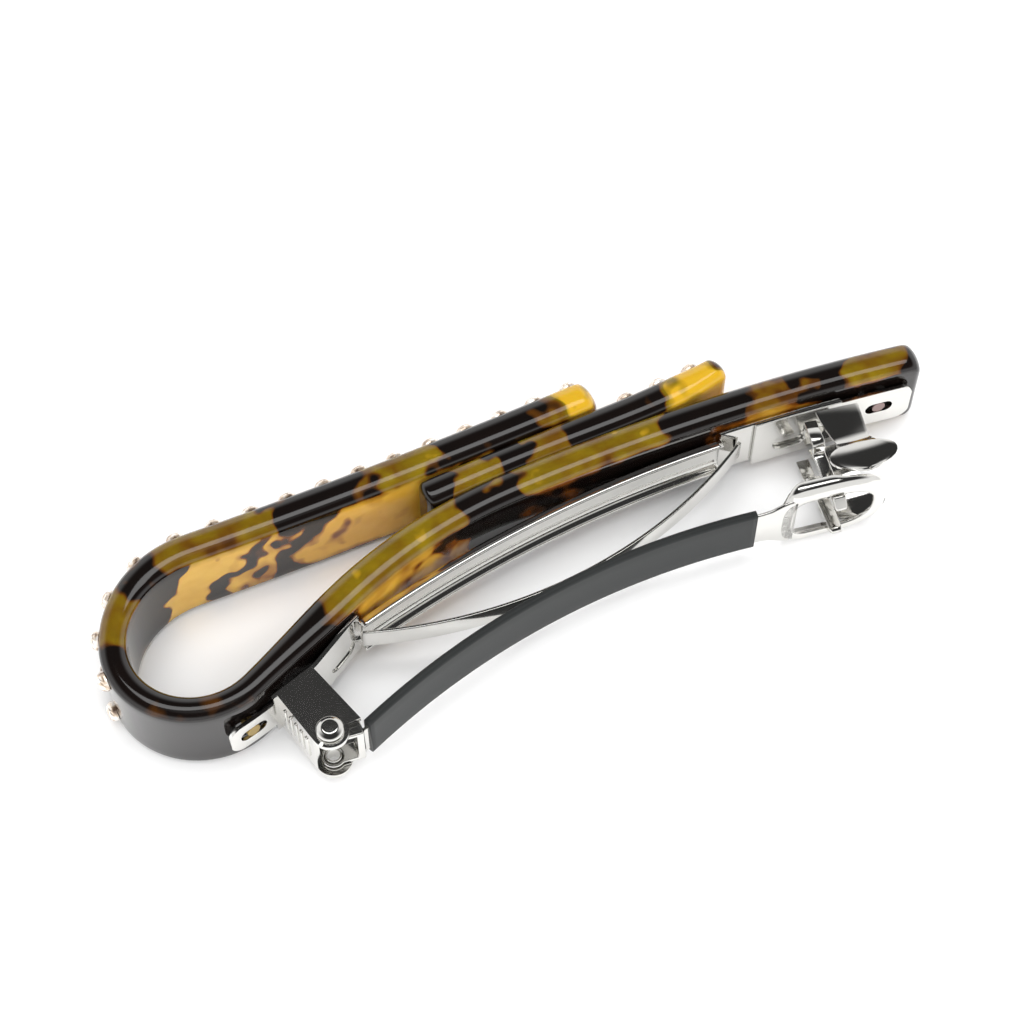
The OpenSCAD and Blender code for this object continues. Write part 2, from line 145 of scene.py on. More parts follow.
# The upper half of the channel's section from its open side to its web, as (across, up).
CHANNEL_OUTSIDE = [(-1.25, 2.25), (-1.2, 2.32), (-0.85, 2.27), (-0.45, 2.16), (-0.18, 1.98), (-0.04, 1.7),
                   (0.0, 1.4)]
CHANNEL_INSIDE = [(-1.22, 1.98), (-0.9, 1.9), (-0.6, 1.75), (-0.45, 1.5), (-0.4, 1.2)]
# The end wall's outer face in plan, from the base to its free edge, and its ribs.
WALL_TOP = (-31.1, -10.25)
WALL_FOOT = (-30.35, -16.3)
WALL_RIBS = (0.22, 0.36, 0.5, 0.64, 0.78)
RIB_WIDTH = 0.45
RIB_LENGTH = 3.4
RIB_HEIGHT = 0.16
# The latch's upper half, in its own frame: x along the base, y towards it and z up.
# A lever's leg from its root to the pad, as rows of (y, z, left x, right x).
LEG_ROWS = [(-1.2, 3.5, -0.2, 4.2), (-2.4, 3.5, -0.1, 4.15), (-3.6, 3.5, 0.1, 4.05), (-4.6, 3.52, 0.3, 3.95),
            (-5.3, 3.6, 0.45, 3.9), (-5.75, 3.8, 0.3, 4.1)]
LEVER_COLUMNS = 13
LEVER_SHEET = 0.3
# The leg curls down at its sides, and the pad's sides dish up, fully so beyond the span in y.
LEG_CURL = 0.10
PAD_DISH = 0.22
DISH_SPAN = (-5.2, -6.7)
PAD_MIDDLE = (2.3, -7.7)
PAD_HALF_LENGTH = 3.45
PAD_HALF_WIDTH = 1.7
PAD_HEIGHT = 4.15
PAD_LIFT = 0.25
PAD_LIFT_ROWS = 3
PAD_STEPS = 10
PAD_ANGLES = (-58, 89)
# A prong's middle line, as (y, z).
PRONG_PATH = [(-2.2, 3.42), (-4.3, 3.42), (-4.75, 3.3), (-4.95, 2.9), (-5.0, 2.5), (-5.2, 2.15), (-5.7, 2.05),
              (-10.5, 2.03), (-11.3, 2.03), (-11.85, 2.0)]
PRONG_X = -1.15
PRONG_HALF_SHEET = 0.17
PRONG_HALF_WIDTH = 0.65
PRONG_TIP_SHARE = 0.75
PRONG_ROUND = 0.1
BARB_HALF_WIDTH = 0.6
BARB_WEDGE = [(-10.76, 2.1), (-10.76, 2.88), (-11.0, 2.88), (-11.85, 2.1)]

# ---------------------------------------------------------------- softened edges
# Width in mm of the rounding on the pieces that keep the CAD's own mesh.
CAD_BEVELS = {"hinge_rivet_upper": 0.15, "hinge_eyelet_lower": 0.1, "latch_foot": 0.1,
              "latch_foot_rivet": 0.1}
BASE_BEVEL = 0.14
FORK_BEVEL = 0.15
RIVET_BEVEL = 0.1
LEVER_BEVEL = 0.09
SMALL_BEVEL = 0.1
# Edges sharper than these angles, in degrees, are rounded.
CAD_EDGE = 35
LEVER_EDGE = 50
SMALL_EDGE = 30
FLAT_WITHIN = 0.2

# ---------------------------------------------------------------- studio and camera
FLOOR_HALF = 0.6
# The world's brightness against how far up it is looked at, 0 level and 1 straight up.
WORLD_STOPS = [(0.45, 1.0), (0.76, 0.035), (0.93, 0.035), (0.99, 0.30)]
CAMERA_AZIMUTH = -30.6
CAMERA_ELEVATION = 57.0
CAMERA_DISTANCE = 224 * MM
FOCAL_LENGTH = 78.75


def add_camera():
    azimuth = math.radians(CAMERA_AZIMUTH)
    elevation = math.radians(CAMERA_ELEVATION)
    back = Vector((math.sin(azimuth) * math.cos(elevation),
                   -math.cos(azimuth) * math.cos(elevation),
                   math.sin(elevation)))
    data = bpy.data.cameras.new("photo_camera")
    data.lens = FOCAL_LENGTH
    data.clip_start = MM
    camera = bpy.data.objects.new("photo_camera", data)
    camera.location = back * CAMERA_DISTANCE
    camera.rotation_euler = back.to_track_quat("Z", "Y").to_euler()
    bpy.context.scene.collection.objects.link(camera)
    bpy.context.scene.camera = camera


# ---------------------------------------------------------------- node material helpers
RAMP_LIMIT = 32


class Nodes:
    """A short way to build a material's node tree."""

    def __init__(self, name):
        self.material = bpy.data.materials.new(name)
        self.material.use_nodes = True
        self.tree = self.material.node_tree
        self.tree.nodes.clear()
        self.output = self.add("ShaderNodeOutputMaterial")
        self.shader = self.add("ShaderNodeBsdfPrincipled")
        self.link(self.shader.outputs["BSDF"], self.output.inputs["Surface"])

    def add(self, kind, **settings):
        node = self.tree.nodes.new(kind)
        for key, value in settings.items():
            setattr(node, key, value)
        return node

    def link(self, source, target):
        self.tree.links.new(source, target)

    def put(self, target, value):
        """Sets a socket to a constant, or links it to another node's output."""
        if isinstance(value, bpy.types.NodeSocket):
            self.link(value, target)
        else:
            target.default_value = value

    def set(self, **values):
        for key, value in values.items():
            self.put(self.shader.inputs[key.replace("_", " ")], value)

    def math(self, operation, first, second=0.0, clamp=False):
        node = self.add("ShaderNodeMath", operation=operation, use_clamp=clamp)
        self.put(node.inputs[0], first)
        self.put(node.inputs[1], second)
        return node.outputs["Value"]

    def spot(self):
        """The object's own coordinates, in metres."""
        return self.add("ShaderNodeTexCoord").outputs["Object"]

    def stretched(self, vector, scale):
        node = self.add("ShaderNodeMapping")
        self.link(vector, node.inputs["Vector"])
        node.inputs["Scale"].default_value = scale
        return node.outputs["Vector"]

    def noise(self, vector, scale, detail=4.0, roughness=0.5, distortion=0.0):
        node = self.add("ShaderNodeTexNoise")
        self.link(vector, node.inputs["Vector"])
        node.inputs["Scale"].default_value = scale
        node.inputs["Detail"].default_value = detail
        node.inputs["Roughness"].default_value = roughness
        node.inputs["Distortion"].default_value = distortion
        return node.outputs["Fac"]

    def ramp(self, factor, stops, smooth=False):
        node = self.add("ShaderNodeValToRGB")
        set_stops(node.color_ramp, stops, smooth)
        self.link(factor, node.inputs["Fac"])
        return node.outputs["Color"]

    def between(self, factor, low, high, top=1.0):
        """Nothing below the low value, top above the high one, and a straight rise between."""
        return self.ramp(factor, [(low, 0.0), (high, top)])

    def long_ramp(self, factor, stops):
        """A smooth ramp of any number of stops, made of two where one can't hold them all."""
        if len(stops) <= RAMP_LIMIT:
            return self.ramp(factor, stops, smooth=True)
        last = RAMP_LIMIT - 1
        beyond = self.math("GREATER_THAN", factor, stops[last][0])
        return self.mix(beyond, self.ramp(factor, stops[:RAMP_LIMIT], smooth=True),
                        self.ramp(factor, stops[last:], smooth=True))

    def mix(self, factor, first, second):
        node = self.add("ShaderNodeMix", data_type="RGBA")
        self.put(node.inputs["Factor"], factor)
        self.put(node.inputs["A"], solid(first) if isinstance(first, tuple) else first)
        self.put(node.inputs["B"], solid(second) if isinstance(second, tuple) else second)
        return node.outputs["Result"]

    def bump(self, height, strength, distance):
        node = self.add("ShaderNodeBump")
        node.inputs["Strength"].default_value = strength
        node.inputs["Distance"].default_value = distance
        self.link(height, node.inputs["Height"])
        self.link(node.outputs["Normal"], self.shader.inputs["Normal"])


def set_stops(ramp, stops, smooth):
    """Gives a colour ramp its stops, as (position, colour or grey level)."""
    ramp.interpolation = "EASE" if smooth else "LINEAR"
    while len(ramp.elements) > 1:
        ramp.elements.remove(ramp.elements[-1])
    (position, colour), *others = stops
    ramp.elements[0].position = position
    ramp.elements[0].color = solid(colour)
    for position, colour in others:
        ramp.elements.new(position).color = solid(colour)


def solid(colour):
    """A colour or a grey level as four channels."""
    if isinstance(colour, (int, float)):
        return (colour, colour, colour, 1.0)
    return (*colour, 1.0)


# ---------------------------------------------------------------- materials
# Noise scales are in cycles per metre. Sways shift the blotches' ends by mm along the strip.
WARP_SCALE = 330.0
SWAY_SCALE = 110.0
ISLAND_SCALE = 380.0
CLOUD_SCALE = 420.0
ISLAND_DEPTH = 0.8
EDGE_WARP = 11.0
FACE_WARP = 12.0
FACE_SWAY = 14.0
FACE_SLANT = 4.0
# The tones between which one colour gives way to the next.
DARK_TO_RUST = (0.28, 0.54)
RUST_TO_CLEAR = (0.46, 0.80)
OLIVE_TO_GOLD = (0.86, 1.0)
SCATTER_TONES = (0.5, 0.7)
SCATTER_SHARE = 0.4
SCATTER_REACH = (1.0, 0.55, 0.10)
# The acetate's roughness, and how much its clouds add.
POLISH = 0.06
POLISH_SPREAD = 0.05
# Share of the clear colour that the acetate gives off as a painted glow, for the light that comes through the
# thin sheet from behind.
PAINTED_GLOW = 0.04
PAINTED_GLOW_TONES = (0.50, 0.75)
# Colours of the acetate from its darkest blotches to its clearest amber.
BLACK_BROWN = (0.003, 0.0025, 0.0025)
DARK_BROWN = (0.007, 0.004, 0.003)
RUST = (0.27, 0.075, 0.006)
DEEP_RUST = (0.10, 0.034, 0.003)
DEEP_OLIVE = (0.080, 0.045, 0.003)
OLIVE = (0.270, 0.185, 0.006)
GOLD = (0.57, 0.34, 0.018)
AMBER = (0.60, 0.32, 0.025)
HONEY = (0.80, 0.49, 0.075)


def tortoiseshell(name, length, edge_tones, face_tones):
    """Polished acetate. Tones are given at distances in mm along the strip, 0 dark and 1 clear.

    The long edges take one set of tones and the olive colours, and the broad faces take another
    set and the brighter amber that light through the sheet gives.
    """
    n = Nodes(name)
    run = n.add("ShaderNodeAttribute", attribute_name="run").outputs["Fac"]
    up = n.add("ShaderNodeAttribute", attribute_name="up").outputs["Fac"]
    face = n.add("ShaderNodeAttribute", attribute_name="face").outputs["Fac"]
    spot = n.spot()
    warp = n.math("SUBTRACT", n.noise(spot, WARP_SCALE, detail=1.2), 0.5)
    sway = n.math("SUBTRACT", n.noise(n.stretched(spot, (1.3, 1.3, 0.8)), SWAY_SCALE, detail=1.0), 0.5)
    edge_run = n.math("ADD", run, n.math("MULTIPLY", warp, EDGE_WARP / length))
    slant = n.math("MULTIPLY", n.math("SUBTRACT", up, 0.5), FACE_SLANT / length)
    bends = n.math("ADD", n.math("MULTIPLY", warp, FACE_WARP / length),
                   n.math("MULTIPLY", sway, FACE_SWAY / length))
    face_run = n.math("ADD", n.math("ADD", run, slant), bends)
    edge_tone = n.long_ramp(edge_run, [(at / length, level) for at, level in edge_tones])
    face_tone = n.long_ramp(face_run, [(at / length, level) for at, level in face_tones])
    tone = n.mix(face, edge_tone, face_tone)
    islands = n.math("SUBTRACT", n.noise(spot, ISLAND_SCALE, detail=1.5), 0.5)
    tone = n.math("ADD", tone, n.math("MULTIPLY", islands, ISLAND_DEPTH), clamp=True)
    depth = n.noise(n.stretched(spot, (1.0, 1.0, 1.4)), CLOUD_SCALE)
    olive_tone, gold_tone = OLIVE_TO_GOLD
    edge_clear = n.mix(depth, n.ramp(tone, [(olive_tone, OLIVE), (gold_tone, GOLD)]),
                       n.ramp(tone, [(olive_tone, DEEP_OLIVE), (gold_tone, GOLD)]))
    # The broad faces' honey and amber are the acetate's clear colour, painted brighter for the light that
    # comes through the sheet.
    face_clear = n.mix(depth, HONEY, AMBER)
    clear_colour = n.mix(face, edge_clear, face_clear)
    darkness = n.mix(depth, BLACK_BROWN, DARK_BROWN)
    rust = n.mix(face, DEEP_RUST, RUST)
    rim = n.mix(n.between(tone, *DARK_TO_RUST), darkness, rust)
    colour = n.mix(n.between(tone, *RUST_TO_CLEAR), rim, clear_colour)
    n.set(Base_Color=colour, Roughness=n.math("ADD", POLISH, n.math("MULTIPLY", depth, POLISH_SPREAD)))
    n.set(Coat_Weight=0.35, Coat_Roughness=0.03, IOR=1.49)
    n.set(Subsurface_Weight=n.between(tone, *SCATTER_TONES, top=SCATTER_SHARE), Subsurface_Scale=0.8 * MM)
    n.shader.inputs["Subsurface Radius"].default_value = SCATTER_REACH
    # Painted glow: the clear parts give off a little of their own colour as emission.
    painted_glow = n.between(tone, *PAINTED_GLOW_TONES)
    n.set(Emission_Color=clear_colour, Emission_Strength=n.math("MULTIPLY", painted_glow, PAINTED_GLOW))
    n.bump(n.noise(spot, CLOUD_SCALE, detail=2.0), strength=0.05, distance=0.05 * MM)
    return n.material


NICKEL = (0.79, 0.78, 0.75)
WORN_RIVET = (0.30, 0.22, 0.21)
GILT_RIVET = (0.42, 0.30, 0.11)
RIVET_ROUGHNESS = 0.25
MARK_DEPTH = 0.35
MARK_SHADE = 0.72
MARK_ROUGHNESS = 0.05
SLEEVE_BLACK = (0.009, 0.010, 0.010)
SLEEVE_RUBBED = (0.022, 0.024, 0.024)
SLEEVE_ROUGHNESS = 0.34
SLEEVE_SPREAD = 0.14
# The stones' foil colour and painted glints, from its depths to the pale glints, as (noise level, colour).
FOIL_AND_PAINTED_GLINT_STOPS = [(0.32, (0.20, 0.13, 0.09)), (0.48, (0.74, 0.59, 0.45)), (0.62, (0.95, 0.91, 0.86))]
FLOOR_SHADES = ((0.94, 0.94, 0.94), (0.97, 0.97, 0.97))


def plated_steel(name, colour, roughness):
    """Bright nickel plate with fine drawing lines and soft handling marks."""
    n = Nodes(name)
    spot = n.spot()
    lines = n.noise(n.stretched(spot, (1.0, 6.0, 6.0)), scale=1500.0, detail=3.0)
    marks = n.noise(spot, scale=350.0, roughness=0.6)
    marked = tuple(MARK_SHADE * level for level in colour)
    n.set(Base_Color=n.mix(n.math("MULTIPLY", marks, MARK_DEPTH), colour, marked), Metallic=1.0)
    n.set(Roughness=n.math("ADD", roughness, n.math("MULTIPLY", marks, MARK_ROUGHNESS)))
    n.bump(lines, strength=0.10, distance=0.01 * MM)
    return n.material


def satin_sleeve():
    """Black heat-shrunk plastic with a faint grain and rubbed grey patches."""
    n = Nodes("black_sleeve")
    spot = n.spot()
    grain = n.noise(spot, scale=2600.0)
    rubbed = n.noise(n.stretched(spot, (0.5, 1.0, 1.0)), scale=160.0, detail=3.0)
    n.set(Base_Color=n.mix(rubbed, SLEEVE_BLACK, SLEEVE_RUBBED))
    n.set(Roughness=n.math("ADD", SLEEVE_ROUGHNESS, n.math("MULTIPLY", rubbed, SLEEVE_SPREAD)), IOR=1.36)
    n.bump(grain, strength=0.12, distance=0.02 * MM)
    return n.material


def crystal():
    """Cut glass with a foiled back: pale champagne with amber depths, and pale glints painted into the foil
    colour.
    """
    n = Nodes("crystal")
    spot = n.spot()
    depth = n.noise(spot, scale=1100.0, detail=2.0, distortion=0.8)
    n.set(Base_Color=n.ramp(depth, FOIL_AND_PAINTED_GLINT_STOPS))
    n.set(Metallic=0.55, Roughness=0.06, IOR=1.6, Coat_Weight=1.0, Coat_Roughness=0.02)
    return n.material


def studio_floor():
    """Matt white board, faintly mottled."""
    n = Nodes("studio_floor")
    mottle = n.noise(n.spot(), scale=6.0, detail=2.0)
    n.set(Base_Color=n.mix(mottle, *FLOOR_SHADES), Roughness=0.85)
    return n.material


# ---------------------------------------------------------------- geometry helpers
def point_on_walk(start, heading, pieces, distance):
    """The place and heading, in mm and radians, at a distance along a walk of arcs and lines."""
    x, y = start
    heading = math.radians(heading)
    for length, turn in pieces:
        span = min(distance, length)
        bend = math.radians(turn) * span / length
        chord = span if abs(bend) < STRAIGHT else span * math.sin(bend / 2) / (bend / 2)
        x += chord * math.cos(heading + bend / 2)
        y += chord * math.sin(heading + bend / 2)
        heading += bend
        distance -= span
        if distance <= 0:
            break
    return x, y, heading


def share_of(span, value):
    """How far a value has gone through a span, from 0 before it to 1 beyond it."""
    return min(max((value - span[0]) / (span[1] - span[0]), 0), 1)


def eased(share):
    """A share from 0 to 1 that starts and ends gently."""
    return share * share * (3 - 2 * share)


def along_taper(pieces, values, distance):
    """A thickness between the values given at the ends of a walk's pieces."""
    for (length, _), low, high in zip(pieces, values, values[1:]):
        if distance <= length:
            return low + (high - low) * eased(distance / length)
        distance -= length
    return values[-1]


# The six sides of a block whose eight corners are listed as two rounds of four.
BOX_FACES = [(0, 1, 2, 3), (7, 6, 5, 4), (0, 4, 5, 1), (1, 5, 6, 2), (2, 6, 7, 3), (3, 7, 4, 0)]


def rounded_section(half_depth, half_width, radius, corner_steps=6, side_steps=1, rise=None):
    """Points of a rounded rectangle, anticlockwise, as (across, up). Rise is its corners' upward radius."""
    rise = radius if rise is None else rise
    points = []
    for quarter, (sx, sz) in enumerate([(1, 1), (-1, 1), (-1, -1), (1, -1)]):
        centre = (sx * (half_depth - radius), sz * (half_width - rise))
        for k in range(corner_steps + 1):
            angle = math.radians(90 * quarter + 90 * k / corner_steps)
            points.append((centre[0] + radius * math.cos(angle), centre[1] + rise * math.sin(angle)))
        if quarter % 2:
            reach = -2 * centre[1]
            points += [(points[-1][0], centre[1] + reach * k / side_steps) for k in range(1, side_steps)]
    return points


def mesh_object(name, vertices, faces, smooth=True, closed=True):
    """A new object from points and faces. A closed one's faces are turned outwards."""
    mesh = bpy.data.meshes.new(name)
    mesh.from_pydata(vertices, [], faces)
    mesh.validate()
    if closed:
        shape = bmesh.new()
        shape.from_mesh(mesh)
        bmesh.ops.recalc_face_normals(shape, faces=shape.faces)
        shape.to_mesh(mesh)
        shape.free()
    mesh.update()
    for polygon in mesh.polygons:
        polygon.use_smooth = smooth
    made = bpy.data.objects.new(name, mesh)
    bpy.context.scene.collection.objects.link(made)
    return made


def end_inset(distance, radius):
    """How far a rounded end draws a face in, at a distance from the end."""
    if distance >= radius:
        return 0.0
    return radius - math.sqrt(max(radius * radius - (radius - distance) ** 2, 0.0))


def end_distances(length, near_round, far_round):
    """Section places along a strip: even in the middle, closer together where the ends round off."""
    places = {0.0, length}
    for k in range(1, END_STEPS):
        curve = 1 - math.cos(math.radians(90 * k / END_STEPS))
        places.add(near_round * curve)
        places.add(length - far_round * curve)
    place = near_round
    while place < length - far_round:
        places.add(place)
        place += SECTION_STEP
    return sorted(places)


def strip_mesh(name, start, heading, pieces, taper, near_round, far_round):
    """A polished strip that follows a walk. The ends round off across the width and the thickness."""
    length = sum(piece[0] for piece in pieces)
    side = STRIP_WIDTH / MM / 2
    vertices, run, heights, faced = [], [], [], []
    places = end_distances(length, near_round, far_round)
    for distance in places:
        x, y, angle = point_on_walk(start, heading, pieces, distance)
        from_end = min(distance, length - distance)
        end_round = near_round if distance < length / 2 else far_round
        half_width = side - end_inset(from_end, end_round)
        half_depth = along_taper(pieces, taper, distance) / 2 - end_inset(from_end, EDGE_ROUND)
        half_depth = max(half_depth, LEAST_DEPTH)
        rise = min(EDGE_ROUND, half_width * FULLEST_ROUND)
        radius = min(CROWN_RADIUS, half_depth * FULLEST_ROUND)
        for across, up in rounded_section(half_depth, half_width, radius, CROWN_STEPS, SIDE_STEPS, rise):
            vertices.append(((x - across * math.sin(angle)) * MM,
                             (y + across * math.cos(angle)) * MM, MID_Z + up * MM))
            run.append(distance / length)
            heights.append(up / half_width / 2 + 0.5)
            faced.append(share_of((FACE_MARGIN, FACE_MARGIN + FACE_BLEND), side - abs(up)))
    made = mesh_object(name, vertices, bar_faces(len(places), len(vertices) // len(places)))
    for label, values in (("run", run), ("up", heights), ("face", faced)):
        made.data.attributes.new(label, "FLOAT", "POINT").data.foreach_set("value", values)
    return made


def wrapped_faces(rings, count, closed):
    """Quads round each ring's points and between neighbouring rings."""
    faces = []
    for ring in range(rings if closed else rings - 1):
        after = (ring + 1) % rings
        for k in range(count):
            step = (k + 1) % count
            faces.append((ring * count + k, ring * count + step, after * count + step, after * count + k))
    return faces


def bar_faces(rings, count):
    """The sides and the two ends of a bar."""
    ends = [tuple(range(count)), tuple(range((rings - 1) * count, rings * count))]
    return wrapped_faces(rings, count, closed=False) + ends


def arc_bar(name, centre, radius, angles, section):
    """A smooth bar along an arc in plan, from a section's (across, up) points in mm."""
    vertices = []
    steps = math.ceil(math.radians(abs(angles[1] - angles[0])) * radius / SECTION_STEP)
    for step in range(steps + 1):
        angle = math.radians(angles[0] + (angles[1] - angles[0]) * step / steps)
        for across, up in section:
            reach = radius + across
            vertices.append(((centre[0] + reach * math.cos(angle)) * MM,
                             (centre[1] + reach * math.sin(angle)) * MM, MID_Z + up * MM))
    return mesh_object(name, vertices, bar_faces(steps + 1, len(section)))


def turned(origin, x, y, z):
    """A place given in mm along the base, towards it and up, from an origin on the base's slant."""
    cosine, sine = math.cos(LATCH_ANGLE), math.sin(LATCH_ANGLE)
    return ((origin[0] + x * cosine - y * sine) * MM,
            (origin[1] + x * sine + y * cosine) * MM, MID_Z + z * MM)


def softened(points, rounds=4, keep=0.25):
    """A closed outline with its corners cut again and again until they are round."""
    for _ in range(rounds):
        cut = []
        for (ax, ay), (bx, by) in zip(points, points[1:] + points[:1]):
            cut.append((ax + (bx - ax) * keep, ay + (by - ay) * keep))
            cut.append((bx + (ax - bx) * keep, by + (ay - by) * keep))
        points = cut
    return points


def mirrored(points):
    """Points of an upper half, and the same ones below in the opposite order."""
    return points + [(x, -up) for x, up in reversed(points)]


def ring_profile(width, skirt):
    """The section of the ring's bar as (reach from the window, depth), with its outer edge folded."""
    fold = min(RING_FOLD, width * FOLD_SHARE, skirt + CORE_HALF)
    lean = fold * FOLD_SLOPE
    top = max(skirt, fold - CORE_HALF + RING_LIP / 2)
    outside = [(RING_EDGE, -CORE_HALF), (width - fold, -CORE_HALF)]
    outside += [(width - fold * left, -CORE_HALF + lean * gone) for left, gone in FOLD_BENDS]
    lip = [(width, max(skirt - RING_LIP, fold - CORE_HALF)), (width - RING_LIP, top),
           (width - FOLD_SHEET, top)]
    inside = [(width - FOLD_SHEET - back, CORE_HALF + above) for back, above in FOLD_INSIDE]
    return outside + lip + inside + [(RING_EDGE, CORE_HALF), (0.0, RING_LIP), (0.0, -RING_LIP)]


def ring_mesh(name):
    """The arm's ring: a flat frame with its outer edge folded towards the base."""
    outer = softened(mirrored(RING_OUTLINE))
    inner = softened(mirrored(RING_WINDOW))
    vertices = []
    for (outer_x, outer_z), (inner_x, inner_z) in zip(outer, inner):
        width = math.hypot(outer_x - inner_x, outer_z - inner_z)
        height = RING_SKIRT - SKIRT_DROP * eased(share_of(SKIRT_DROP_SPAN, outer_x))
        skirt = CORE_HALF + (height - CORE_HALF) * eased(share_of(SKIRT_RISE_SPAN, outer_x))
        for reach, depth in ring_profile(width, skirt):
            share = reach / width
            vertices.append(turned(RING_ORIGIN, inner_x + (outer_x - inner_x) * share, depth,
                                   inner_z + (outer_z - inner_z) * share))
    count = len(vertices) // len(outer)
    return mesh_object(name, vertices, wrapped_faces(len(outer), count, closed=True))


def neck_mesh(name):
    """The arm's strip where it leaves the sleeve and widens into the ring."""
    vertices = []
    for x, half_width in NECK_STATIONS:
        for depth, up in rounded_section(CORE_HALF, half_width, NECK_ROUND, corner_steps=3):
            vertices.append(turned(RING_ORIGIN, x, depth, up))
    count = len(vertices) // len(NECK_STATIONS)
    return mesh_object(name, vertices, bar_faces(len(NECK_STATIONS), count))


def lever_rows():
    """(y, z, left, right) of a lever's sheet from its root to the pad's outer edge."""
    rows = list(LEG_ROWS)
    start, end = PAD_ANGLES
    for step in range(PAD_STEPS + 1):
        angle = math.radians(start + (end - start) * step / PAD_STEPS)
        reach = PAD_HALF_LENGTH * math.cos(angle)
        y = PAD_MIDDLE[1] - PAD_HALF_WIDTH * math.sin(angle)
        z = PAD_HEIGHT + PAD_LIFT * min(step, PAD_LIFT_ROWS) / PAD_LIFT_ROWS
        rows.append((y, z, PAD_MIDDLE[0] - reach, PAD_MIDDLE[0] + reach))
    return rows


def lever_mesh(name, flip):
    """A latch lever's sheet: a leg that flares into a dished oval pad. flip is 1, or -1 below."""
    vertices, faces = [], []
    rows = lever_rows()
    for y, z, left, right in rows:
        for k in range(LEVER_COLUMNS):
            across = 2 * k / (LEVER_COLUMNS - 1) - 1
            lift = (PAD_DISH * share_of(DISH_SPAN, y) - LEG_CURL) * across * across
            x = left + (right - left) * (across + 1) / 2
            vertices.append(turned(LATCH_ORIGIN, x, y, flip * (z + lift)))
    for row in range(len(rows) - 1):
        for k in range(LEVER_COLUMNS - 1):
            a = row * LEVER_COLUMNS + k
            face = (a, a + 1, a + LEVER_COLUMNS + 1, a + LEVER_COLUMNS)
            faces.append(face if flip > 0 else tuple(reversed(face)))
    made = mesh_object(name, vertices, faces, closed=False)
    sheet = made.modifiers.new("sheet", "SOLIDIFY")
    sheet.thickness = LEVER_SHEET * MM
    sheet.offset = 1
    soften_edges(made, LEVER_BEVEL, LEVER_EDGE)
    return made


def prong_mesh(name, flip):
    """A latch prong: a strip that steps in from the leg's side, runs through the ring and ends in a barb."""
    last = len(PRONG_PATH) - 1
    vertices = []
    for k, (y, z) in enumerate(PRONG_PATH):
        before, after = PRONG_PATH[max(k - 1, 0)], PRONG_PATH[min(k + 1, last)]
        heading = math.atan2(after[1] - before[1], after[0] - before[0])
        half_width = PRONG_HALF_WIDTH * (PRONG_TIP_SHARE if k == last else 1)
        for thick, wide in rounded_section(PRONG_HALF_SHEET, half_width, PRONG_ROUND, corner_steps=3):
            vertices.append(turned(LATCH_ORIGIN, PRONG_X + wide, y - thick * math.sin(heading),
                                   flip * (z + thick * math.cos(heading))))
    return mesh_object(name, vertices, bar_faces(len(PRONG_PATH), len(vertices) // len(PRONG_PATH)))


def wall_ribs(name):
    """Plain raised ribs across the end wall between the hinge ears."""
    top, foot = Vector(WALL_TOP), Vector(WALL_FOOT)
    down = (foot - top).normalized() * RIB_WIDTH / 2
    out = Vector((down.y, -down.x)).normalized() * RIB_HEIGHT
    vertices, faces = [], []
    for along in WALL_RIBS:
        middle = top + (foot - top) * along
        base = len(vertices)
        corners = (middle - down - out / 2, middle + down - out / 2, middle + down + out, middle - down + out)
        for up in (-RIB_LENGTH / 2, RIB_LENGTH / 2):
            vertices += [(corner.x * MM, corner.y * MM, MID_Z + up * MM) for corner in corners]
        faces += [tuple(base + k for k in quad) for quad in BOX_FACES]
    made = mesh_object(name, vertices, faces, smooth=False)
    soften_edges(made, SMALL_BEVEL, SMALL_EDGE)
    return made


def barb_mesh(name, flip):
    """The wedge at a prong's end that catches behind the ring's bar."""
    vertices = [turned(LATCH_ORIGIN, PRONG_X + side, y, flip * z)
                for side in (-BARB_HALF_WIDTH, BARB_HALF_WIDTH) for y, z in BARB_WEDGE]
    made = mesh_object(name, vertices, BOX_FACES, smooth=False)
    soften_edges(made, SMALL_BEVEL, SMALL_EDGE)
    return made


def merge_flat_faces(piece):
    """Joins the CAD mesh's triangles that lie in one plane, so that bevels run clean."""
    flat = piece.modifiers.new("merge_flat_faces", "DECIMATE")
    flat.decimate_type = "DISSOLVE"
    flat.angle_limit = math.radians(FLAT_WITHIN)


def soften_edges(piece, width, angle):
    bevel = piece.modifiers.new("soft_edges", "BEVEL")
    bevel.width = width * MM
    bevel.segments = 3
    bevel.limit_method = "ANGLE"
    bevel.angle_limit = math.radians(angle)
    for polygon in piece.data.polygons:
        polygon.use_smooth = True
    weighted = piece.modifiers.new("flat_faces", "WEIGHTED_NORMAL")
    weighted.weight = 100


def channel_mesh(name):
    """The base's channel: a web and two splayed flanges along the base's arch."""
    section = mirrored(CHANNEL_OUTSIDE)
    section += [(across, -up) for across, up in CHANNEL_INSIDE] + list(reversed(CHANNEL_INSIDE))
    return arc_bar(name, CHANNEL_CENTRE, CHANNEL_RADIUS, CHANNEL_ANGLES, section)


